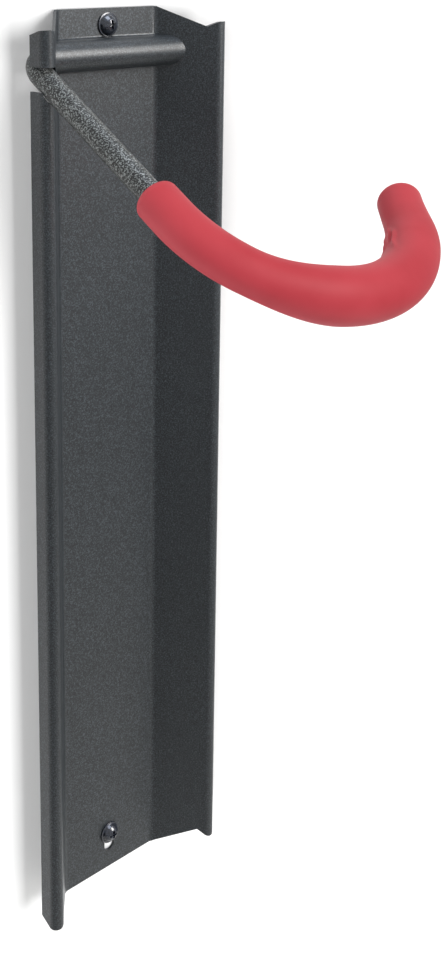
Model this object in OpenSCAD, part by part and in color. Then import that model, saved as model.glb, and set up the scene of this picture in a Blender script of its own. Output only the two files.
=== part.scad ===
// Wall hanger for a bicycle's front wheel.
// A pressed sheet-steel channel guides the tyre. A bent rod lies in a tunnel pressed
// across the channel, comes out through a notch in the left flange and ends in a hook
// with a soft sleeve. Two screws hold the channel to the wall.
// Millimetres. X is right, -Y is out of the wall, +Z is up. The wall is the plane y = 0
// and the origin is the centre of the channel's back face.

/* [Channel] */
// Length of the channel
plate_len = 457; // [300:1:600]
// Width of the flat web between its two bends
web_w = 60; // [50:1:90]
// Thickness of the sheet
sheet_t = 1.5; // [1:0.1:2.5]
// Angle between a flange and the wall, in degrees
flange_angle = 50.5; // [40:0.5:60]
// Sideways distance from a web bend to the centre of the rolled lip
flange_reach = 21.6; // [19:0.1:28]
// Inside radius of the two web bends
web_bend_r = 4; // [2:0.5:6]
// Outside radius of the rolled lip
lip_r = 3.8; // [3:0.1:6]
// Straight part of the lip behind its roll
lip_back = 6.5; // [3:0.5:8]
// How far each flange is cut back at its ends
end_cut = 9.2; // [4:0.1:14]
// Sideways run of the sloping part of that cut
end_cut_run = 16; // [10:0.5:19]

/* [Tunnel and notch] */
// Distance from the channel's top edge to the tunnel's axis
tunnel_drop = 21; // [19:0.5:40]
// Radial clearance round the rod in the tunnel and below it in the notch
rod_gap = 0.3; // [0.2:0.05:0.6]
// Radius of the soft blends along the tunnel's feet
tunnel_foot_r = 1; // [0.6:0.2:4]
// Height of the notch, from its flat lower edge to its flat upper edge
notch_h = 11; // [8:0.5:14]
// Room between the shank and the inner end of the notch
notch_side_gap = 2; // [1.5:0.5:4]
// Radius of the corners at the notch's inner end
notch_corner_r = 2; // [1:0.5:4]

/* [Hook] */
// Diameter of the rod
rod_d = 11; // [9:0.5:13]
// Downward tilt of the hook's plane, in degrees
hook_tilt = 30; // [15:1:40]
// How far the hook lifts before the notch stops it, in degrees
hook_lift = 2; // [1:0.5:2]
// Distance from the channel's middle plane to the shank's axis
shank_offset = 49.5; // [46:0.5:60]
// Bend radius of the elbow, to the rod's axis
elbow_r = 13; // [12:0.5:18]
// Straight shank from the tunnel's axis to the start of the hook's arc
shank_len = 111; // [80:1:150]
// Radius of the hook's arc, to the rod's axis
hook_r = 63.5; // [50:0.5:80]
// Sweep of the hook's arc, in degrees
hook_sweep = 146; // [120:1:165]
// Straight tip of the rod after the arc
tip_len = 24; // [18:1:40]
// How much thinner in radius the rod's tip is, which eases the sleeve on
tip_relief = 0.3; // [0.2:0.1:0.5]
// Distance from the channel's middle plane to the rod's hidden end
leg_end = 33; // [20:1:36]
// Chamfer at both ends of the rod
rod_chamfer = 1; // [0.5:0.5:2]

/* [Sleeve] */
// Distance along the rod from the tunnel's axis to the sleeve's open end
sleeve_start = 96; // [60:1:100]
// Outside radius of the sleeve round the shank
sleeve_neck_r = 10; // [8.5:0.1:12]
// Outside radius of the sleeve round the seat of the hook
sleeve_belly_r = 12.6; // [10:0.1:15]
// Outside radius of the sleeve at the tip
sleeve_tip_r = 10.5; // [8.5:0.1:12]
// Radial clearance between the rod and the sleeve's bore
sleeve_gap = 0.1; // [0.05:0.05:0.3]
// Thickness of the sleeve's closed end
sleeve_cap = 5; // [3:0.5:8]
// Rounding of the sleeve's closed end
sleeve_cap_r = 5; // [2:0.5:7]
// Rounding of the sleeve's open end
sleeve_rim_r = 3.5; // [1:0.5:4]

/* [Screws] */
// Diameter of the screw shank
screw_d = 6; // [4:0.5:6.5]
// Length of the shank under the head
screw_len = 50; // [35:1:70]
// Length of the screw's point
screw_point = 8; // [5:0.5:12]
// Length of the slimmer neck under the head
neck_len = 2; // [1.5:0.1:4]
// How much slimmer in radius the neck is than the shank
neck_relief = 0.4; // [0.3:0.1:0.6]
// Diameter of the screw head
head_d = 11.6; // [10:0.1:13]
// Height of the screw head
head_h = 4.2; // [3:0.1:5]
// Thickness of the flange round the foot of the head
head_rim = 0.8; // [0.4:0.1:1.2]
// Width of that flange beyond the dome
head_rim_w = 0.7; // [0.3:0.1:1.2]
// Radial clearance round the screws in their holes
screw_gap = 0.3; // [0.2:0.05:0.6]
// Room between the upper screw's head and the tunnel's side
head_room = 0.2; // [0.1:0.1:0.6]
// Room round the upper screw's head in its flat seat
seat_gap = 0.3; // [0.2:0.1:0.6]
// Distance from the channel's bottom edge to the lower screw
lower_screw_rise = 20.5; // [16:0.5:60]
// Length of the lower hole, which is a slot that runs down from its screw
slot_len = 14; // [8:0.5:20]
// Span of the cross recess
recess_w = 5.6; // [4:0.1:7]
// Width of one slot of the cross recess
recess_slot = 1.3; // [0.8:0.1:1.6]
// Depth of the cross recess
recess_depth = 2.4; // [1.5:0.1:3]

/* [Hidden] */
$fn = 64;
over = 1;

plate_coat = "#33363a";
rod_coat = "#6f7272";
sleeve_red = "#c4444f";
screw_black = "#17181b";

half_len = plate_len / 2;
half_web = web_w / 2;
rod_r = rod_d / 2;
tunnel_r = rod_r + rod_gap;
tunnel_z = half_len - tunnel_drop;
bead_r = tunnel_r + sheet_t;
foot_span = bead_r + tunnel_foot_r;

// The sheet's section: bend and roll centres, and where its straight parts begin and end
bend_mid_r = web_bend_r + sheet_t / 2;
bend_trim = bend_mid_r * tan(flange_angle / 2);
bend_x = half_web - bend_trim;
bend_y = -sheet_t - web_bend_r;
roll_mid_r = lip_r - sheet_t / 2;
roll_x = half_web + flange_reach;
roll_y = (roll_mid_r - flange_reach * sin(flange_angle)) / cos(flange_angle) - sheet_t / 2;
bend_steps = 8;
roll_steps = 20;
plate_front = lip_r - roll_y;
plate_half_w = roll_x + lip_r;

// The hook lies in one plane that turns about the tunnel's axis
arc_x = hook_r - shank_offset;
rod_end = shank_len + hook_r * hook_sweep * PI / 180 + tip_len;
saddle_sides = 12;
saddle_len = plate_front + tunnel_r;
lifted_tilt = hook_tilt - hook_lift;
notch_top = tunnel_z + (roll_y + tunnel_r) * tan(lifted_tilt)
    + (tunnel_r + rod_gap) / cos(lifted_tilt);

// The sleeve's radius swells from neck to belly and shrinks again to the tip
sleeve_end = rod_end + sleeve_cap;
sleeve_span = sleeve_end - sleeve_start;
swell_share = [0.26, 0.47];
shrink_share = [0.79, 0.9];
sleeve_sides = 28;
sleeve_rings = 48;
rim_rings = 6;
bore_r = (rod_r + sleeve_gap) / cos(180 / sleeve_sides);

upper_screw_z = tunnel_z + bead_r + head_room + head_d / 2;
lower_screw_z = lower_screw_rise - half_len;
hole_r = screw_d / 2 + screw_gap;

// Points along an arc round a centre
function arc_points(centre, r, from, to, steps) =
    [for (i = [0 : steps])
        let (a = from + (to - from) * i / steps) centre + r * [cos(a), sin(a)]];

// Right half of the sheet's outline: the back face out to the lip, then the front face
bend_at = [bend_x, bend_y];
roll_at = [roll_x, roll_y];
flat_dir = 90 - flange_angle;
roll_dir = 270 - flange_angle;
half_outline = concat(
    arc_points(bend_at, web_bend_r + sheet_t, 90, flat_dir, bend_steps),
    arc_points(roll_at, lip_r - sheet_t, roll_dir, 360, roll_steps),
    [roll_at + [lip_r - sheet_t, lip_back], roll_at + [lip_r, lip_back]],
    arc_points(roll_at, lip_r, 360, roll_dir, roll_steps),
    arc_points(bend_at, web_bend_r, flat_dir, 90, bend_steps)
);

// The channel's whole section, bends and rolled lips included
module channel_section() {
    last = len(half_outline) - 1;
    polygon(concat(half_outline,
        [for (i = [last : -1 : 0]) [-half_outline[i][0], half_outline[i][1]]]));
}

// Everything in front of the sheet's middle surface, as far out as the flanges go
module front_region() {
    polygon([
        [0, -plate_front], [0, -sheet_t / 2], [half_web, -sheet_t / 2],
        roll_at - roll_mid_r * [sin(flange_angle), cos(flange_angle)],
        [roll_x, -plate_front]
    ]);
}

module mirrored_pair() {
    children();
    mirror([1, 0, 0]) children();
}

// Section of the pressed tunnel: a half-round with concave blends at its feet
module bead_section() {
    translate([0, -tunnel_r]) circle(bead_r);
    translate([-bead_r, -tunnel_r]) square([bead_r * 2, tunnel_r]);
    difference() {
        translate([-foot_span, -sheet_t - tunnel_foot_r])
            square([foot_span * 2, sheet_t + tunnel_foot_r]);
        for (side = [-1, 1])
            translate([side * foot_span, -sheet_t - tunnel_foot_r]) circle(tunnel_foot_r);
    }
}

// The tunnel's outer shape runs along X and merges into both flanges
module bead() {
    intersection() {
        translate([-roll_x, 0, tunnel_z]) rotate([0, 90, 0])
            linear_extrude(roll_x * 2) bead_section();
        translate([0, 0, -half_len]) linear_extrude(plate_len)
            mirrored_pair() front_region();
    }
}

// Puts its children in the hook's plane: X stays, -Y runs along the shank
module hook_plane() {
    translate([0, -tunnel_r, tunnel_z]) rotate([hook_tilt, 0, 0]) children();
}

// The elbow between the rod's leg and its shank, as thick as asked
module rod_elbow(r) {
    translate([-shank_offset + elbow_r, -elbow_r, 0]) rotate([0, 0, 90])
        rotate_extrude(angle = 90) translate([elbow_r, 0]) circle(r);
}

// Room for the rod: the tunnel with its open back toward the wall, and a many-sided
// saddle that the shank rests in where it leaves the channel
module rod_passage() {
    hook_plane() {
        rod_elbow(tunnel_r);
        translate([-shank_offset, -elbow_r, 0]) rotate([90, 0, 0])
            cylinder(h = saddle_len, r = tunnel_r / cos(180 / saddle_sides), $fn = saddle_sides);
    }
    translate([-half_web - flange_reach, 0, tunnel_z]) rotate([0, 90, 0])
        linear_extrude(half_web + flange_reach + leg_end + rod_gap) {
            translate([0, -tunnel_r]) circle(tunnel_r);
            translate([-tunnel_r, -tunnel_r]) square([tunnel_r * 2, tunnel_r + over]);
        }
}

// The flat-edged notch through the left flange and lip, open at the side
module notch_cut() {
    inner_x = -shank_offset + rod_r + notch_side_gap;
    outer_x = -plate_half_w - over;
    translate([0, over, notch_top - notch_h]) rotate([90, 0, 0])
        linear_extrude(plate_front + over * 2) {
            translate([outer_x, 0]) square([inner_x - outer_x - notch_corner_r, notch_h]);
            translate([outer_x, notch_corner_r])
                square([inner_x - outer_x, notch_h - notch_corner_r * 2]);
            for (z = [notch_corner_r, notch_h - notch_corner_r])
                translate([inner_x - notch_corner_r, z]) circle(notch_corner_r);
        }
}

// One flange end, cut back on a slope and then square across the lip
module end_cut_shape() {
    polygon([
        [half_web, half_len],
        [half_web + end_cut_run, half_len - end_cut],
        [plate_half_w + over, half_len - end_cut],
        [plate_half_w + over, half_len + over],
        [half_web, half_len + over]
    ]);
}

module end_cuts() {
    for (top = [0, 1]) mirror([0, 0, top]) mirrored_pair()
        translate([0, over, 0]) rotate([90, 0, 0])
            linear_extrude(plate_front + over * 2) end_cut_shape();
}

// A round hole with a flat seat for the upper screw, and a slot for the lower one
module screw_holes() {
    translate([0, over, upper_screw_z]) rotate([90, 0, 0])
        cylinder(h = sheet_t + over * 2, r = hole_r);
    translate([0, -sheet_t, upper_screw_z]) rotate([90, 0, 0])
        cylinder(h = bead_r * 2, r = head_d / 2 + seat_gap);
    translate([0, over, lower_screw_z]) rotate([90, 0, 0])
        linear_extrude(sheet_t + over * 2) {
            circle(hole_r);
            translate([-hole_r, hole_r * 2 - slot_len])
                square([hole_r * 2, slot_len - hole_r * 2]);
            translate([0, hole_r * 2 - slot_len]) circle(hole_r);
        }
}

module channel_plate() {
    color(plate_coat) difference() {
        union() {
            translate([0, 0, -half_len]) linear_extrude(plate_len) channel_section();
            bead();
        }
        rod_passage();
        notch_cut();
        end_cuts();
        screw_holes();
    }
}

// A short cone that breaks the edge at a rod end
module rod_tip(r) {
    cylinder(h = rod_chamfer, r1 = r, r2 = r - rod_chamfer);
}

module hook_rod() {
    color(rod_coat) hook_plane() {
        translate([-shank_offset + elbow_r, 0, 0]) rotate([0, 90, 0])
            cylinder(h = leg_end - rod_chamfer + shank_offset - elbow_r, r = rod_r);
        rod_elbow(rod_r);
        translate([-shank_offset, -elbow_r, 0]) rotate([90, 0, 0])
            cylinder(h = shank_len - elbow_r, r = rod_r);
        translate([leg_end - rod_chamfer, 0, 0]) rotate([0, 90, 0]) rod_tip(rod_r);
        translate([arc_x, -shank_len, 0]) {
            rotate([0, 0, 180]) rotate_extrude(angle = hook_sweep)
                translate([hook_r, 0]) circle(rod_r);
            rotate([0, 0, 180 + hook_sweep]) translate([hook_r, 0, 0]) rotate([0, 90, 90]) {
                translate([0, 0, -rod_chamfer])
                    cylinder(h = tip_len, r = rod_r - tip_relief);
                translate([0, 0, tip_len - rod_chamfer]) rod_tip(rod_r - tip_relief);
            }
        }
    }
}

// Angle of the arc passed at a distance s along the rod
function arc_angle(s) =
    180 + min(max((s - shank_len) / (hook_r * PI / 180), 0), hook_sweep);

// Point on the rod's axis at that distance, in the hook's plane
function axis_point(s) =
    let (a = arc_angle(s),
         past = max(s - rod_end + tip_len, 0),
         before = max(shank_len - s, 0))
    [arc_x + hook_r * cos(a) - past * sin(a),
     before + past * cos(a) - shank_len + hook_r * sin(a)];

// Ring of points round the axis at that distance
function ring_points(s, r) =
    let (a = arc_angle(s), p = axis_point(s))
    [for (i = [0 : sleeve_sides - 1])
        let (turn = 360 * i / sleeve_sides, out = r * cos(turn))
        [p[0] + out * cos(a), p[1] + out * sin(a), r * sin(turn)]];

function ease(x) = let (c = min(max(x, 0), 1)) c * c * (3 - 2 * c);

// Outside radius of the sleeve at a share of its length, before its ends are rounded
function sleeve_body_r(share) =
    sleeve_neck_r
    + (sleeve_belly_r - sleeve_neck_r)
        * ease((share - swell_share[0]) / (swell_share[1] - swell_share[0]))
    - (sleeve_belly_r - sleeve_tip_r)
        * ease((share - shrink_share[0]) / (shrink_share[1] - shrink_share[0]));

// How much a rounded end takes off the radius at a distance from that end
function rounding(from_end, r) =
    let (d = max(r - from_end, 0)) r - sqrt(max(pow(r, 2) - pow(d, 2), 0));

function sleeve_r(s) =
    sleeve_body_r((s - sleeve_start) / sleeve_span)
    - rounding(s - sleeve_start, sleeve_rim_r)
    - rounding(sleeve_end - s, sleeve_cap_r);

// Distances of the outer rings: close together at both rounded ends
sleeve_stations = [
    for (i = [0 : rim_rings - 1]) sleeve_start + sleeve_rim_r * (1 - cos(90 * i / rim_rings)),
    for (i = [0 : sleeve_rings])
        sleeve_start + sleeve_rim_r
        + (sleeve_span - sleeve_rim_r - sleeve_cap_r) * i / sleeve_rings,
    for (i = [1 : rim_rings]) sleeve_end - sleeve_cap_r * (1 - sin(90 * i / rim_rings))
];

// Distances of the bore's rings, from its blind end back to the open end
bore_stations = [
    for (i = [sleeve_rings : -1 : 0])
        sleeve_start + (rod_end + sleeve_gap - sleeve_start) * i / sleeve_rings
];

module grip_sleeve() {
    rings = concat(
        [for (s = sleeve_stations) ring_points(s, sleeve_r(s))],
        [for (s = bore_stations) ring_points(s, bore_r)]
    );
    outer = len(sleeve_stations);
    n = sleeve_sides;
    skip = outer - 1;
    last = len(rings);
    walls = [
        for (k = [0 : last - 1]) if (k != skip) for (i = [0 : n - 1])
            let (a = k * n + i,
                 b = k * n + (i + 1) % n,
                 c = ((k + 1) % last) * n + (i + 1) % n,
                 d = ((k + 1) % last) * n + i)
            each [[a, c, b], [a, d, c]]
    ];
    caps = [
        [for (i = [0 : n - 1]) (outer - 1) * n + i],
        [for (i = [n - 1 : -1 : 0]) outer * n + i]
    ];
    color(sleeve_red) hook_plane()
        polyhedron(points = [for (ring = rings) each ring], faces = concat(walls, caps));
}

// One screw on the Z axis: its head above, its flat seat at zero and its point below
module screw() {
    dome_r = head_d / 2 - head_rim_w;
    dome_h = head_h - head_rim;
    ball_r = (pow(dome_r, 2) + pow(dome_h, 2)) / (dome_h * 2);
    color(screw_black) difference() {
        union() {
            translate([0, 0, screw_point - screw_len])
                cylinder(h = screw_len - screw_point - neck_len, r = screw_d / 2);
            translate([0, 0, -neck_len]) cylinder(h = neck_len, r = screw_d / 2 - neck_relief);
            translate([0, 0, -screw_len]) cylinder(h = screw_point, r1 = 0, r2 = screw_d / 2);
            cylinder(h = head_rim, r = head_d / 2);
            intersection() {
                translate([0, 0, head_h - ball_r]) sphere(ball_r);
                cylinder(h = head_h, r = dome_r);
            }
        }
        for (turn = [0, 90]) rotate([0, 0, turn])
            translate([-recess_w / 2, -recess_slot / 2, head_h - recess_depth])
                cube([recess_w, recess_slot, recess_depth + over]);
    }
}

module upper_screw() {
    translate([0, -sheet_t, upper_screw_z]) rotate([90, 0, 0]) screw();
}

module lower_screw() {
    translate([0, -sheet_t, lower_screw_z]) rotate([90, 0, 0]) screw();
}

channel_plate();
hook_rod();
grip_sleeve();
upper_screw();
lower_screw();
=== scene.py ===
# Wall hanger for a bicycle: a pressed steel channel, a bent rod and a soft red sleeve.
# Metres throughout. X is right, -Y is out of the wall, +Z is up.
import math
import bpy
import bmesh
from mathutils import Matrix, Vector


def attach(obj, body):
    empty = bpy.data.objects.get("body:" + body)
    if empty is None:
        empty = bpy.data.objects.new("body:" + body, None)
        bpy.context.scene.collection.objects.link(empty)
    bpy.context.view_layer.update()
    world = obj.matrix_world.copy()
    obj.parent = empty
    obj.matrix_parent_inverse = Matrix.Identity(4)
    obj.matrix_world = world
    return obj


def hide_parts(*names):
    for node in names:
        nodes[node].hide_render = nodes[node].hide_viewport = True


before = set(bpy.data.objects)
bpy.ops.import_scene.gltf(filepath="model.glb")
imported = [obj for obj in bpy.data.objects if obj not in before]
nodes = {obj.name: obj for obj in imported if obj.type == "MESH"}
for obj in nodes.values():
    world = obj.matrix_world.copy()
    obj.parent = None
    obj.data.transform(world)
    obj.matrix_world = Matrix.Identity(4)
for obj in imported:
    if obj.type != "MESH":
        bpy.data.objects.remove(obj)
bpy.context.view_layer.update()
print("frame loaded:", sorted(nodes))


# the camera stands left of the channel, a little above its top, and looks down to the right
camera = {
    "place": (-0.41616, -0.50353, 0.2701),
    "yaw": 0.80283,
    "pitch": -0.21551,
    "roll": 0.021447,
    "lens": 51.55,
    "shift": (-0.0365, -0.27),
    "nearest": 0.01,
}


def addCamera(values):
    yaw, pitch, roll = values["yaw"], values["pitch"], values["roll"]
    ahead = Vector((math.sin(yaw) * math.cos(pitch), math.cos(yaw) * math.cos(pitch), math.sin(pitch)))
    side = Vector((math.cos(yaw), -math.sin(yaw), 0))
    up = side.cross(ahead)
    right = side * math.cos(roll) + up * math.sin(roll)
    top = up * math.cos(roll) - side * math.sin(roll)
    turn = Matrix((right, top, -ahead)).transposed()
    data = bpy.data.cameras.new("camera")
    data.lens = values["lens"]
    data.shift_x, data.shift_y = values["shift"]
    data.clip_start = values["nearest"]
    item = bpy.data.objects.new("camera", data)
    item.matrix_world = Matrix.Translation(values["place"]) @ turn.to_4x4()
    bpy.context.scene.collection.objects.link(item)
    bpy.context.scene.camera = item


addCamera(camera)
print("camera placed")


def hexColour(text):
    # a screen colour such as #c0414b, made linear
    parts = [int(text[i:i + 2], 16) / 255 for i in (1, 3, 5)]
    return tuple(p / 12.92 if p <= 0.04045 else ((p + 0.055) / 1.055) ** 2.4 for p in parts) + (1,)


def addNode(tree, kind, inputs=None, links=None, **settings):
    item = tree.nodes.new(kind)
    for name, value in settings.items():
        setattr(item, name, value)
    for name, value in (inputs or {}).items():
        item.inputs[name].default_value = value
    for name, source in (links or {}).items():
        tree.links.new(source, item.inputs[name])
    return item


def setRamp(item, stops):
    ramp = item.color_ramp
    while len(ramp.elements) > len(stops):
        ramp.elements.remove(ramp.elements[-1])
    while len(ramp.elements) < len(stops):
        ramp.elements.new(0.5)
    for element, (place, colour) in zip(ramp.elements, stops):
        element.position = place
        element.color = hexColour(colour)


def newMaterial(name):
    material = bpy.data.materials.new(name)
    material.use_nodes = True
    material.node_tree.nodes.clear()
    return material, material.node_tree


# hammertone powder coat on pressed steel: dark graphite, satin, with a fine pebbled skin that breaks up
# the light; grain is the pebbles' spacing, cloud the size of the paler patches, height the pebbles' depth
plateCoat = {
    "dark": "#111315", "mid": "#25292c", "light": "#484e53", "spread": 0.22,
    "grain": 0.0006, "cloud": 0.045, "roughness": 0.34, "height": 0.00006,
}
# the rod's coat is of the same kind, baked thicker and coarser: a salt-and-pepper grey
rodCoat = {
    "dark": "#040404", "mid": "#191b1b", "light": "#747877", "spread": 0.1,
    "grain": 0.0007, "cloud": 0.02, "roughness": 0.36, "height": 0.00012,
}
# what both coats share; the pebbles' crests are glossier than the hollows between them
bakedSkin = {
    "detail": 3, "softness": 0.55, "cloudDetail": 2, "tone": (0.9, 1.1), "hollow": 0.1, "crest": 0.06,
    "bump": 0.7, "metallic": 0.25,
}


def hammertone(name, values):
    material, tree = newMaterial(name)
    place = addNode(tree, "ShaderNodeTexCoord").outputs["Object"]
    grain = addNode(tree, "ShaderNodeTexNoise",
                    {"Scale": 1 / values["grain"], "Detail": bakedSkin["detail"],
                     "Roughness": bakedSkin["softness"]},
                    {"Vector": place})
    cloud = addNode(tree, "ShaderNodeTexNoise",
                    {"Scale": 1 / values["cloud"], "Detail": bakedSkin["cloudDetail"]}, {"Vector": place})
    ramp = addNode(tree, "ShaderNodeValToRGB", links={"Fac": grain.outputs["Fac"]})
    setRamp(ramp, [(0.5 - values["spread"], values["dark"]), (0.5, values["mid"]),
                   (0.5 + values["spread"], values["light"])])
    dimmest, brightest = bakedSkin["tone"]
    tone = addNode(tree, "ShaderNodeMapRange", {"To Min": dimmest, "To Max": brightest},
                   {"Value": cloud.outputs["Fac"]})
    shade = addNode(tree, "ShaderNodeMix", {"Factor": 1},
                    {"A": ramp.outputs["Color"], "B": tone.outputs["Result"]},
                    data_type="RGBA", blend_type="MULTIPLY")
    gloss = addNode(tree, "ShaderNodeMapRange",
                    {"To Min": values["roughness"] + bakedSkin["hollow"],
                     "To Max": values["roughness"] - bakedSkin["crest"]},
                    {"Value": grain.outputs["Fac"]})
    bump = addNode(tree, "ShaderNodeBump", {"Strength": bakedSkin["bump"], "Distance": values["height"]},
                   {"Height": grain.outputs["Fac"]})
    paint = addNode(tree, "ShaderNodeBsdfPrincipled", {"Metallic": bakedSkin["metallic"]},
                    {"Base Color": shade.outputs["Result"], "Roughness": gloss.outputs["Result"],
                     "Normal": bump.outputs["Normal"]})
    addNode(tree, "ShaderNodeOutputMaterial", links={"Surface": paint.outputs["BSDF"]})
    return material


# dip-moulded soft vinyl: matte, slightly cloudy red with a faint skin texture
sleeveVinyl = {
    "deep": "#ae303b", "mid": "#b93a45", "pale": "#c0414b", "stops": (0.2, 0.5, 0.8),
    "cloud": 0.03, "cloudDetail": 3, "skin": 0.0009, "skinDetail": 2, "bump": 0.5, "height": 0.00004,
    "roughness": 0.6, "specular": 0.35,
}


def softVinyl(values):
    material, tree = newMaterial("softVinyl")
    place = addNode(tree, "ShaderNodeTexCoord").outputs["Object"]
    cloud = addNode(tree, "ShaderNodeTexNoise", {"Scale": 1 / values["cloud"], "Detail": values["cloudDetail"]},
                    {"Vector": place})
    ramp = addNode(tree, "ShaderNodeValToRGB", links={"Fac": cloud.outputs["Fac"]})
    setRamp(ramp, list(zip(values["stops"], (values["deep"], values["mid"], values["pale"]))))
    skin = addNode(tree, "ShaderNodeTexNoise", {"Scale": 1 / values["skin"], "Detail": values["skinDetail"]},
                   {"Vector": place})
    bump = addNode(tree, "ShaderNodeBump", {"Strength": values["bump"], "Distance": values["height"]},
                   {"Height": skin.outputs["Fac"]})
    vinyl = addNode(tree, "ShaderNodeBsdfPrincipled",
                    {"Roughness": values["roughness"], "Specular IOR Level": values["specular"]},
                    {"Base Color": ramp.outputs["Color"], "Normal": bump.outputs["Normal"]})
    addNode(tree, "ShaderNodeOutputMaterial", links={"Surface": vinyl.outputs["BSDF"]})
    return material


# black oxide on a steel screw, waxed: nearly black with a small sharp highlight and a few duller patches
screwOxide = {
    "dark": "#12141a", "pale": "#2f3541", "stops": (0.35, 0.7), "wear": 0.0008, "detail": 2,
    "glossiest": 0.15, "dullest": 0.3, "metallic": 0.3, "wax": 0.5, "waxRoughness": 0.08,
}


def blackOxide(values):
    material, tree = newMaterial("blackOxide")
    place = addNode(tree, "ShaderNodeTexCoord").outputs["Object"]
    wear = addNode(tree, "ShaderNodeTexNoise", {"Scale": 1 / values["wear"], "Detail": values["detail"]},
                   {"Vector": place})
    ramp = addNode(tree, "ShaderNodeValToRGB", links={"Fac": wear.outputs["Fac"]})
    setRamp(ramp, list(zip(values["stops"], (values["dark"], values["pale"]))))
    gloss = addNode(tree, "ShaderNodeMapRange", {"To Min": values["glossiest"], "To Max": values["dullest"]},
                    {"Value": wear.outputs["Fac"]})
    steel = addNode(tree, "ShaderNodeBsdfPrincipled",
                    {"Metallic": values["metallic"], "Coat Weight": values["wax"],
                     "Coat Roughness": values["waxRoughness"]},
                    {"Base Color": ramp.outputs["Color"], "Roughness": gloss.outputs["Result"]})
    addNode(tree, "ShaderNodeOutputMaterial", links={"Surface": steel.outputs["BSDF"]})
    return material


coatMaterial = hammertone("graphiteHammertone", plateCoat)
rodMaterial = hammertone("greyHammertone", rodCoat)
vinylMaterial = softVinyl(sleeveVinyl)
screwMaterial = blackOxide(screwOxide)
print("coats mixed")


def clearSelection():
    if bpy.context.object and bpy.context.object.mode != "OBJECT":
        bpy.ops.object.mode_set(mode="OBJECT")
    bpy.ops.object.select_all(action="DESELECT")


def pickOnly(piece):
    clearSelection()
    piece.select_set(True)
    bpy.context.view_layer.objects.active = piece


def applyPlace():
    bpy.ops.object.transform_apply(location=True, rotation=True, scale=True)


def bevelEdges(piece, width, segments, angle):
    bevel = piece.modifiers.new("bevel", "BEVEL")
    bevel.width = width
    bevel.segments = segments
    bevel.limit_method = "ANGLE"
    bevel.angle_limit = math.radians(angle)
    bpy.ops.object.modifier_apply(modifier="bevel")


def finishPiece(piece, name, material, body, angle):
    # the place goes into the mesh, as a CAD node's does
    pickOnly(piece)
    applyPlace()
    bpy.ops.object.shade_smooth_by_angle(angle=math.radians(angle))
    piece.name = name
    piece.data.name = name
    piece.data.materials.clear()
    piece.data.materials.append(material)
    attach(piece, body)
    print("finished", name, len(piece.data.vertices), "points")


# the pressed channel and the rod keep their shape, with loose faces joined; the channel's sheared edges
# are softened by the width given
steelPieces = {
    "channelPlate": {"node": "channel_plate", "slot": "coat", "body": "plate", "edge": 0.00025,
                     "material": coatMaterial},
    "hookRod": {"node": "hook_rod", "slot": "rod_coat", "body": "hook", "edge": 0, "material": rodMaterial},
}
# lengths in metres, angles in degrees
steelFinish = {"merge": 0.000002, "flat": 0.5, "edgeSegments": 2, "edgeAngle": 40, "smooth": 30, "flatWeight": 90}


# each rolled lip ends in a blunt nose that stands past the square cut of the flange
lipNose = {"inner": 0.046, "crestX": 0.0516, "crestY": -0.026, "backY": -0.0157, "cutZ": 0.2193,
           "margin": 0.0006, "top": 0.0025, "bottom": 0.0045}


def drawLipNoses(mesh):
    for vertex in mesh.vertices:
        x, y, z = abs(vertex.co.x), vertex.co.y, vertex.co.z
        if x < lipNose["inner"] or abs(z) < lipNose["cutZ"] - lipNose["margin"]:
            continue
        if x > lipNose["crestX"]:
            away = (y - lipNose["crestY"]) / (lipNose["backY"] - lipNose["crestY"])
        else:
            away = (lipNose["crestX"] - x) / (lipNose["crestX"] - lipNose["inner"])
        away = min(max(away, 0), 1)
        vertex.co.z += (1 - away ** 2) * (lipNose["top"] if z > 0 else -lipNose["bottom"])


def makeSteelPiece(name, values):
    source = nodes[values["node"]]
    piece = source.copy()
    piece.data = source.data.copy()
    bpy.context.scene.collection.objects.link(piece)
    pickOnly(piece)
    bpy.ops.object.mode_set(mode="EDIT")
    bpy.ops.mesh.select_all(action="SELECT")
    bpy.ops.mesh.remove_doubles(threshold=steelFinish["merge"])
    if values["edge"]:
        bpy.ops.mesh.dissolve_limited(angle_limit=math.radians(steelFinish["flat"]))
    bpy.ops.object.mode_set(mode="OBJECT")
    if values["edge"]:
        bevelEdges(piece, values["edge"], steelFinish["edgeSegments"], steelFinish["edgeAngle"])
        drawLipNoses(piece.data)
    finishPiece(piece, name, values["material"], values["body"], steelFinish["smooth"])
    if values["edge"]:
        # the wide flats keep their own direction, so the bends shade as bends
        flats = piece.modifiers.new("flats", "WEIGHTED_NORMAL")
        flats.keep_sharp = True
        flats.weight = steelFinish["flatWeight"]
        bpy.ops.object.modifier_apply(modifier="flats")
    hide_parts(values["node"])


for name, values in steelPieces.items():
    makeSteelPiece(name, values)


# the rod's course in the hook's plane, as the frame has it: a straight shank, then one arc, then the tip
rodCourse = {"axis": (0, -0.0058, 0.2075), "tilt": 30, "offset": 0.0495, "shank": 0.111, "arcR": 0.0635,
             "sweep": 146}


def coursePoint(s):
    # the point, the direction outwards from the arc and the normal of the hook's plane
    r = rodCourse["arcR"]
    sweep = math.radians(rodCourse["sweep"])
    turn = min(max((s - rodCourse["shank"]) / r, 0), sweep)
    past = max(s - rodCourse["shank"] - r * sweep, 0)
    before = max(rodCourse["shank"] - s, 0)
    a = math.pi + turn
    x = r - rodCourse["offset"] + r * math.cos(a) - past * math.sin(a)
    y = before - rodCourse["shank"] + r * math.sin(a) + past * math.cos(a)
    tilt = math.radians(rodCourse["tilt"])
    ax, ay, az = rodCourse["axis"]
    point = Vector((ax + x, ay + y * math.cos(tilt), az + y * math.sin(tilt)))
    out = Vector((math.cos(a), math.sin(a) * math.cos(tilt), math.sin(a) * math.sin(tilt)))
    normal = Vector((0, -math.sin(tilt), math.cos(tilt)))
    return point, out, normal


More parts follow.
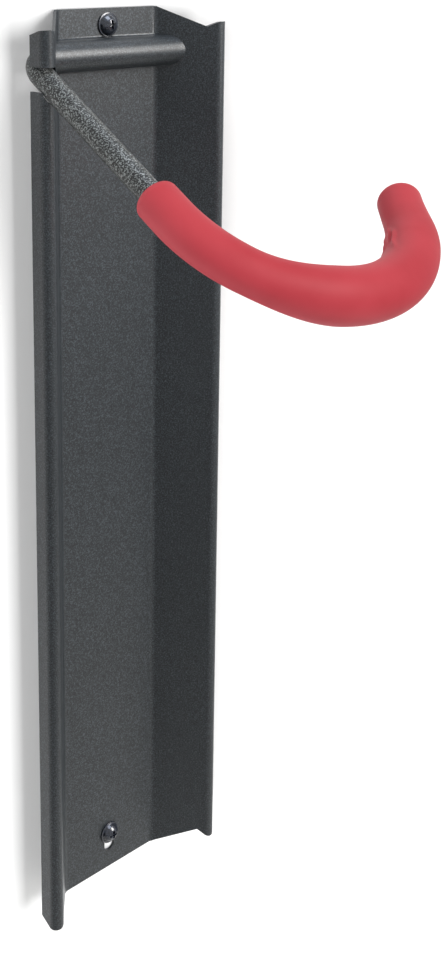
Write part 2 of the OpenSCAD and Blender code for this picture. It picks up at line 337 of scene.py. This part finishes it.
# the sleeve swells from a slim neck to a full belly and shrinks again to a rounded tip; swell and the two
# shrinks are shares of its length
sleeve = {
    "start": 0.0972, "end": 0.2995, "neck": 0.0097, "belly": 0.0125, "tip": 0.0105,
    "swell": (0.26, 0.47), "shrink": (0.79, 0.9), "outerShrink": (0.8, 0.975),
    "rim": 0.0035, "cap": 0.005, "crown": 0.0002, "crownShares": (0.75, 0.5, 0.25, 0.08),
    "bore": 0.0056, "boreDepth": 0.012, "mouth": 0.0004,
    "sides": 96, "bodyRows": 300, "boreRows": 7, "rimRows": 8, "capRows": 10, "merge": 0.000004, "smooth": 60,
}
# each fold: its place round the tube, how far it drifts, where it starts and ends, its height and its width
sleeveFolds = [
    (2.7, 0.5, 0.236, 0.268, 0.0015, 0.08),
    (3.0, 0.35, 0.243, 0.277, 0.0019, 0.065),
    (3.27, 0.2, 0.238, 0.272, 0.0015, 0.06),
    (3.52, 0.1, 0.247, 0.271, 0.001, 0.06),
]
# how the folds wander along the tube, and the shallow trough on both sides of each
foldForm = {"wander": 0.05, "waves": 9, "phase": 4, "troughDepth": 0.35, "troughWidth": 2.6}


def smoothShare(x):
    x = min(max(x, 0), 1)
    return x * x * (3 - 2 * x)


def bodyRadius(s, turn):
    # the outside of the last bend stays full for longer than the inside
    share = (s - sleeve["start"]) / (sleeve["end"] - sleeve["start"])
    a, b = sleeve["swell"]
    outer = (1 + math.cos(turn)) / 2
    c, d = (i + (o - i) * outer for i, o in zip(sleeve["shrink"], sleeve["outerShrink"]))
    return (sleeve["neck"] + (sleeve["belly"] - sleeve["neck"]) * smoothShare((share - a) / (b - a))
            - (sleeve["belly"] - sleeve["tip"]) * smoothShare((share - c) / (d - c)))


def foldHeight(s, turn):
    # soft folds lie along the inside of the last bend, where the tube was pushed round
    total = 0
    for centre, drift, start, end, height, width in sleeveFolds:
        along = (s - start) / (end - start)
        if 0 < along < 1:
            window = math.sin(math.pi * along)
            wave = foldForm["wander"] * math.sin(along * foldForm["waves"] + centre * foldForm["phase"])
            middle = centre + drift * (along - 0.5) + wave
            trough = foldForm["troughDepth"] * height * window
            total += height * window * math.exp(-((turn - middle) / width) ** 2)
            total -= trough * math.exp(-((turn - middle) / (width * foldForm["troughWidth"])) ** 2)
    return total


def sleeveRows():
    # each row is its place along the rod and its radius, from inside the bore out over the rim to the tip
    start, end, bore = sleeve["start"], sleeve["end"], sleeve["bore"]
    rimR, capR = sleeve["rim"], sleeve["cap"]
    steps = sleeve["boreRows"]
    rows = [(start + sleeve["boreDepth"] * (1 - i / steps), bore) for i in range(steps + 1)]
    rows.append((start, bore + sleeve["mouth"]))
    steps = sleeve["rimRows"]
    for i in range(steps + 1):
        a = math.pi / 2 * i / steps
        rows.append((start + rimR * (1 - math.cos(a)), sleeve["neck"] - rimR + rimR * math.sin(a)))
    steps = sleeve["bodyRows"]
    for i in range(1, steps):
        # the body's radius differs round the tube, so it is worked out point by point
        rows.append((start + rimR + (end - start - rimR - capR) * i / steps, None))
    steps = sleeve["capRows"]
    for i in range(steps + 1):
        a = math.pi / 2 * i / steps
        rows.append((end - capR * (1 - math.sin(a)), sleeve["tip"] - capR + capR * math.cos(a)))
    for share in sleeve["crownShares"]:
        rows.append((end + sleeve["crown"] * (1 - share), (sleeve["tip"] - capR) * share))
    return rows


def makeSleeve():
    rows = sleeveRows()
    last = len(rows) - 1
    clearSelection()
    bpy.ops.mesh.primitive_grid_add(x_subdivisions=sleeve["sides"], y_subdivisions=last, size=1)
    piece = bpy.context.object
    # the flat grid is rolled round the rod: its X goes round, its Y goes along
    for vertex in piece.data.vertices:
        turn = (vertex.co.x + 0.5) * 2 * math.pi
        s, r = rows[min(int(round((vertex.co.y + 0.5) * last)), last)]
        point, out, normal = coursePoint(s)
        if r is None:
            r = bodyRadius(s, turn) + foldHeight(s, turn)
        vertex.co = point + out * (r * math.cos(turn)) + normal * (r * math.sin(turn))
    bpy.ops.object.mode_set(mode="EDIT")
    bpy.ops.mesh.select_all(action="SELECT")
    bpy.ops.mesh.remove_doubles(threshold=sleeve["merge"])
    bpy.ops.mesh.select_all(action="DESELECT")
    bpy.ops.mesh.select_mode(type="EDGE")
    bpy.ops.mesh.select_non_manifold()
    bpy.ops.mesh.fill_holes(sides=0)
    bpy.ops.mesh.select_all(action="SELECT")
    bpy.ops.mesh.normals_make_consistent(inside=False)
    bpy.ops.object.mode_set(mode="OBJECT")
    finishPiece(piece, "gripSleeve", vinylMaterial, "hook", sleeve["smooth"])
    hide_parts("grip_sleeve")


makeSleeve()


# pan-head wood screw: flanged dome, tapered cross recess, smooth neck and a coarse thread
screw = {
    "headR": 0.0058, "rim": 0.0008, "domeR": 0.0051, "height": 0.0042, "domeRings": 10, "headSides": 64,
    "shankR": 0.00215, "threadR": 0.003, "length": 0.05, "neck": 0.016, "point": 0.008, "pointR": 0.0002,
    "sides": 40, "sunk": 0.0002, "smooth": 35,
    "upper": 0.2208, "lower": -0.208, "front": -0.0015,
}
# the recess is narrower at its floor, and over is how far the cutter stands above the dome
recess = {"width": 0.0062, "slot": 0.0016, "depth": 0.0024, "over": 0.001, "floorWidth": 0.45, "floorSlot": 0.6}
# bevels of the head's rim and, once it is cut, of the recess: width, segments and least angle
screwBevels = {"rim": (0.0002, 3, 50), "recess": (0.00014, 2, 35)}
# width is half the ridge's foot as a share of the pitch, and the least shares keep the point closed
thread = {"pitch": 0.0026, "rowsPerTurn": 28, "fadeRows": 20, "sunk": 0.0001, "width": 0.28, "end": 0.001,
          "leastRidge": 0.05, "leastRoot": 0.06}


def addBar(radius, depth, middle, sides):
    clearSelection()
    bpy.ops.mesh.primitive_cylinder_add(vertices=sides, radius=radius, depth=depth, location=(0, 0, middle))
    return bpy.context.object


def makeHead():
    piece = addBar(screw["headR"], screw["rim"], screw["rim"] / 2, screw["headSides"])
    applyPlace()
    bpy.ops.object.mode_set(mode="EDIT")
    mesh = bmesh.from_edit_mesh(piece.data)
    for face in mesh.faces:
        face.select_set(face.normal.z > 0.9)
    bmesh.update_edit_mesh(piece.data)
    # the dome rises in rings that follow one ball
    bpy.ops.mesh.inset(thickness=screw["headR"] - screw["domeR"])
    rise = screw["height"] - screw["rim"]
    ball = (screw["domeR"] ** 2 + rise ** 2) / (2 * rise)
    full = math.asin(min(screw["domeR"] / ball, 1))
    lastR, lastZ = screw["domeR"], 0
    for i in range(1, screw["domeRings"]):
        a = full * (1 - i / screw["domeRings"])
        r, h = ball * math.sin(a), ball * math.cos(a) - (ball - rise)
        bpy.ops.mesh.extrude_region_move(TRANSFORM_OT_translate={"value": (0, 0, h - lastZ)})
        k = r / lastR
        bpy.ops.transform.resize(value=(k, k, 1), center_override=(0, 0, 0))
        lastR, lastZ = r, h
    bpy.ops.object.mode_set(mode="OBJECT")
    bevelEdges(piece, *screwBevels["rim"])
    return piece


def makeWedge(turn):
    middle = screw["height"] - recess["depth"] / 2
    clearSelection()
    bpy.ops.mesh.primitive_cube_add(size=1, location=(0, 0, middle + recess["over"] / 2))
    wedge = bpy.context.object
    wedge.scale = (recess["width"], recess["slot"], recess["depth"] + recess["over"])
    applyPlace()
    for vertex in wedge.data.vertices:
        if vertex.co.z < middle:
            vertex.co.x *= recess["floorWidth"]
            vertex.co.y *= recess["floorSlot"]
    wedge.rotation_euler = (0, 0, turn)
    applyPlace()
    return wedge


def cutRecess(piece):
    # a cross of two wedges
    for wedge in [makeWedge(0), makeWedge(math.pi / 2)]:
        pickOnly(piece)
        cut = piece.modifiers.new("recess", "BOOLEAN")
        cut.operation = "DIFFERENCE"
        cut.object = wedge
        cut.solver = "EXACT"
        bpy.ops.object.modifier_apply(modifier="recess")
        bpy.data.objects.remove(wedge)
    bevelEdges(piece, *screwBevels["recess"])


def makeThread(top, bottom):
    # a grid of three columns follows the helix: root, crest, root
    turns = (top - bottom) / thread["pitch"]
    rows = int(turns * thread["rowsPerTurn"])
    clearSelection()
    bpy.ops.mesh.primitive_grid_add(x_subdivisions=2, y_subdivisions=rows, size=1)
    ridge = bpy.context.object
    for vertex in ridge.data.vertices:
        share = vertex.co.y + 0.5
        side = round(vertex.co.x * 2)
        z = top + (bottom - top) * share
        fromPoint = (z + screw["length"]) / screw["point"]
        fade = min(max(fromPoint, thread["leastRidge"]), 1) * min(share * rows / thread["fadeRows"], 1)
        root = screw["shankR"] * min(max(fromPoint, thread["leastRoot"]), 1) - thread["sunk"]
        r = root + (screw["threadR"] - screw["shankR"] + thread["sunk"]) * fade if side == 0 else root
        a = 2 * math.pi * turns * share
        vertex.co = (r * math.cos(a), r * math.sin(a), z + side * thread["pitch"] * thread["width"])
    return ridge


def makeScrew(name, node, z):
    head = makeHead()
    cutRecess(head)
    # the core tapers to a point, and the thread winds round it as one ribbon
    length, point, neck = screw["length"], screw["point"], screw["neck"]
    core = addBar(screw["shankR"], length - point, -(length - point) / 2 + screw["sunk"], screw["sides"])
    clearSelection()
    bpy.ops.mesh.primitive_cone_add(vertices=screw["sides"], radius1=screw["shankR"], radius2=screw["pointR"],
                                    depth=point, location=(0, 0, -length + point / 2),
                                    rotation=(math.pi, 0, 0))
    tip = bpy.context.object
    collar = addBar(screw["threadR"], neck, -neck / 2 + screw["sunk"], screw["sides"])
    ridge = makeThread(-neck, -length + thread["end"])
    clearSelection()
    for item in (core, tip, collar, ridge, head):
        item.select_set(True)
    bpy.context.view_layer.objects.active = head
    bpy.ops.object.join()
    head.rotation_euler = (math.pi / 2, 0, 0)
    head.location = (0, screw["front"], z)
    finishPiece(head, name, screwMaterial, "plate", screw["smooth"])
    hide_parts(node)


makeScrew("upperScrew", "upper_screw", screw["upper"])
makeScrew("lowerScrew", "lower_screw", screw["lower"])


# a white painted wall behind the hanger and a pale floor well below it
studio = {
    "wall": "#f4f4f4", "wallRoughness": 0.9, "wallY": 0.0004, "touch": 0.004,
    "floor": "#dcdcd9", "floorRoughness": 0.8, "floorZ": -1.1, "reach": 3.0,
}


def addPlane(name, material, location, rotation):
    clearSelection()
    bpy.ops.mesh.primitive_plane_add(size=studio["reach"] * 2, location=location, rotation=rotation)
    plane = bpy.context.object
    applyPlace()
    plane.name = name
    plane.data.materials.append(material)


def wallPaint():
    # matte white, seen from the room alone; the channel lies against the wall, so the wall lets the
    # light to its back through
    material, tree = newMaterial("whiteWall")
    paint = addNode(tree, "ShaderNodeBsdfPrincipled",
                    {"Base Color": hexColour(studio["wall"]), "Roughness": studio["wallRoughness"],
                     "Specular IOR Level": 0.0})
    away = addNode(tree, "ShaderNodeBsdfTransparent")
    back = addNode(tree, "ShaderNodeNewGeometry").outputs["Backfacing"]
    path = addNode(tree, "ShaderNodeLightPath")
    near = addNode(tree, "ShaderNodeMath", {1: studio["touch"]}, {0: path.outputs["Ray Length"]},
                   operation="LESS_THAN")
    clear = addNode(tree, "ShaderNodeMath", links={0: back, 1: near.outputs["Value"]}, operation="MAXIMUM")
    both = addNode(tree, "ShaderNodeMixShader",
                   links={0: clear.outputs["Value"], 1: paint.outputs["BSDF"], 2: away.outputs["BSDF"]})
    addNode(tree, "ShaderNodeOutputMaterial", links={"Surface": both.outputs["Shader"]})
    return material


def floorPaint():
    material, tree = newMaterial("paleFloor")
    paint = addNode(tree, "ShaderNodeBsdfPrincipled",
                    {"Base Color": hexColour(studio["floor"]), "Roughness": studio["floorRoughness"]})
    addNode(tree, "ShaderNodeOutputMaterial", links={"Surface": paint.outputs["BSDF"]})
    return material


addPlane("wall", wallPaint(), (0, studio["wallY"], 0), (math.pi / 2, 0, 0))
addPlane("floor", floorPaint(), (0, 0, studio["floorZ"]), (0, 0, 0))


# a tall soft key on the right and a cooler lamp above light the hanger, the hook has a fill and the sleeve
# its own key, and two lamps light the wall alone; on and off list what a lamp does or doesn't light, and
# past lists what throws no shadow in it
lamps = {
    "key": {"place": (1.05, -1.85, 1.0), "size": (0.9, 1.3), "power": 82, "colour": "#fffaf5",
            "off": ["wall", "gripSleeve"], "past": ["gripSleeve", "hookRod"]},
    "sleeveKey": {"place": (0.2, -1.7, 1.2), "size": (0.9, 0.9), "power": 32, "colour": "#fffaf5",
                  "on": ["gripSleeve"]},
    "top": {"place": (0.1, -0.7, 1.7), "size": (1, 1), "power": 28, "colour": "#e6efff",
            "off": ["wall", "gripSleeve"]},
    "hookFill": {"place": (-1.1, -1.4, 0.9), "size": (0.8, 0.8), "power": 8, "colour": "#ffffff",
                 "on": ["gripSleeve", "hookRod"]},
    "wallLeft": {"place": (-2.0, -1.3, 0.1), "size": (1.2, 1.2), "power": 44, "colour": "#ffffff",
                 "on": ["wall"], "past": ["gripSleeve", "hookRod"]},
    "wallFront": {"place": (0.24, -2.0, 0.2), "size": (1.2, 1.2), "power": 35, "colour": "#ffffff",
                  "on": ["wall"]},
}


def pieceList(name, pieces, state):
    group = bpy.data.collections.new(name)
    for piece in pieces:
        group.objects.link(bpy.data.objects[piece])
    for entry in group.collection_objects:
        entry.light_linking.link_state = state
    return group


def addLamp(name, values):
    data = bpy.data.lights.new(name, "AREA")
    data.shape = "RECTANGLE"
    data.size, data.size_y = values["size"]
    data.energy = values["power"]
    data.color = hexColour(values["colour"])[:3]
    lamp = bpy.data.objects.new(name, data)
    lamp.location = values["place"]
    lamp.rotation_euler = (-Vector(values["place"])).to_track_quat("-Z", "Y").to_euler()
    bpy.context.scene.collection.objects.link(lamp)
    if "on" in values:
        lamp.light_linking.receiver_collection = pieceList(name, values["on"], "INCLUDE")
    else:
        lamp.light_linking.receiver_collection = pieceList(name, values["off"], "EXCLUDE")
    if "past" in values:
        lamp.light_linking.blocker_collection = pieceList(name + "Past", values["past"], "EXCLUDE")


for name, values in lamps.items():
    addLamp(name, values)


# the world is white where it is seen and in reflections, and dim as a light
world = {"level": 0.05, "colour": "#f2f4f6"}


def setWorld():
    sky = bpy.data.worlds.new("studio")
    bpy.context.scene.world = sky
    sky.use_nodes = True
    tree = sky.node_tree
    tree.nodes.clear()
    path = addNode(tree, "ShaderNodeLightPath")
    seen = addNode(tree, "ShaderNodeMath", operation="MAXIMUM",
                   links={0: path.outputs["Is Camera Ray"], 1: path.outputs["Is Transmission Ray"]})
    shown = addNode(tree, "ShaderNodeMath", operation="MAXIMUM",
                    links={0: seen.outputs["Value"], 1: path.outputs["Is Glossy Ray"]})
    level = addNode(tree, "ShaderNodeMapRange", {"To Min": world["level"], "To Max": 1.0},
                    {"Value": shown.outputs["Value"]})
    glow = addNode(tree, "ShaderNodeBackground", {"Color": hexColour(world["colour"])},
                   {"Strength": level.outputs["Result"]})
    addNode(tree, "ShaderNodeOutputWorld", links={"Surface": glow.outputs["Background"]})


setWorld()
bpy.context.scene.view_settings.view_transform = "Standard"
print("studio lit")
